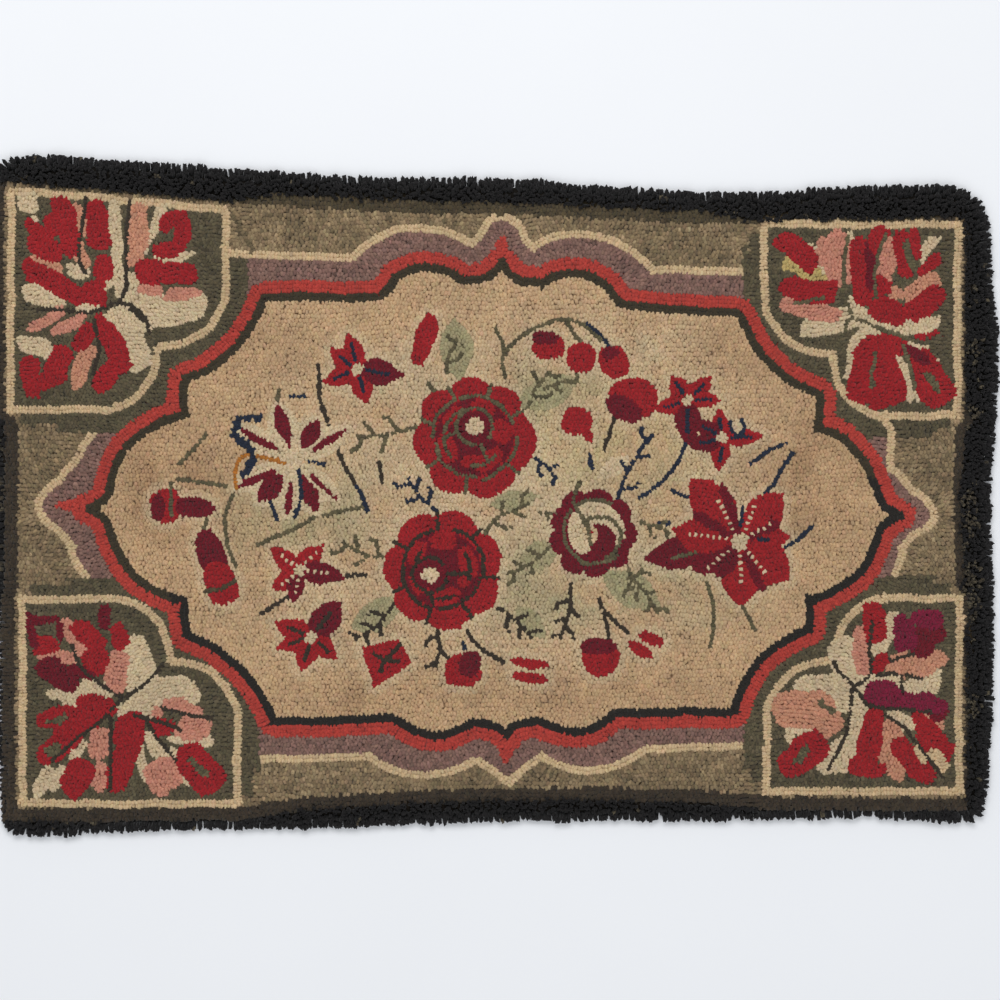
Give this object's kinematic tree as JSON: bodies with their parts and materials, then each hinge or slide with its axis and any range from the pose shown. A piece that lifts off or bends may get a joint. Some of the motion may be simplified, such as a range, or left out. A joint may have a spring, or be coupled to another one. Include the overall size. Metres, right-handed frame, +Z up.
{
  "type": "hooked rug",
  "caption": "Flat hooked wool rug with a looped face, rounded corners and a low shaggy edge that lies on the floor all round.",
  "frame": {"origin": "on the floor under the middle of the rug's box", "axes": "+X along the rug's length, +Y towards the top of its design, +Z up out of the pile"},
  "size_m": [1.011, 0.6826, 0.0119],
  "materials": {
    "wool": "heathered wool loops in tan, cream, crimson, mauve and olive, with a black shaggy edge"
  },
  "bodies": {
    "root": {"hooked_rug": "wool"}
  },
  "joints": []
}
